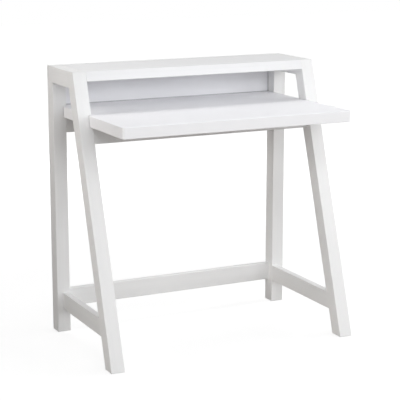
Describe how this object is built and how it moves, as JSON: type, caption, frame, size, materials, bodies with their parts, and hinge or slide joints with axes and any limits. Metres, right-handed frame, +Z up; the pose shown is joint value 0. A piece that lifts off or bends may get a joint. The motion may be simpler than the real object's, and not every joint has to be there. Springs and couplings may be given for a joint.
{
  "type": "writing desk",
  "caption": "Trestle writing desk with sloping front legs, a thick worktop held between the side frames, a raised rear shelf with a back panel, and a low rear stretcher.",
  "frame": {"origin": "on the floor, under the middle of the overall width and depth", "axes": "+Z up, -Y towards the person who sits at the desk, +X to that person's right"},
  "size_m": [0.85, 0.531, 0.88],
  "materials": {
    "white_paint": "satin white paint over wood, faint upright grain",
    "white_panel": "satin white painted thin board",
    "dowel_wood": "plain unfinished hardwood",
    "zinc_steel": "zinc plated",
    "zinc_cast": "matt zinc casting",
    "glide_plastic": "matt white plastic"
  },
  "bodies": {
    "root": {"left_rear_leg": "white_paint", "left_front_leg": "white_paint", "left_top_rail": "white_paint", "left_side_rail": "white_paint", "left_frame_dowels": "dowel_wood", "right_rear_leg": "white_paint", "right_front_leg": "white_paint", "right_top_rail": "white_paint", "right_side_rail": "white_paint", "right_frame_dowels": "dowel_wood", "worktop": "white_paint", "rear_shelf": "white_paint", "front_apron": "white_paint", "rear_apron": "white_paint", "rear_stretcher": "white_paint", "back_panel": "white_panel", "shelf_dowels": "dowel_wood", "shelf_cam_bolts": "zinc_steel", "shelf_cams": "zinc_cast", "apron_dowels": "dowel_wood", "apron_cam_bolts": "zinc_steel", "apron_cams": "zinc_cast", "stretcher_dowels": "dowel_wood", "stretcher_cam_bolts": "zinc_steel", "stretcher_cams": "zinc_cast", "worktop_screws": "zinc_steel", "panel_screws": "zinc_steel", "glide_nails": "zinc_steel", "foot_glides": "glide_plastic"}
  },
  "joints": []
}
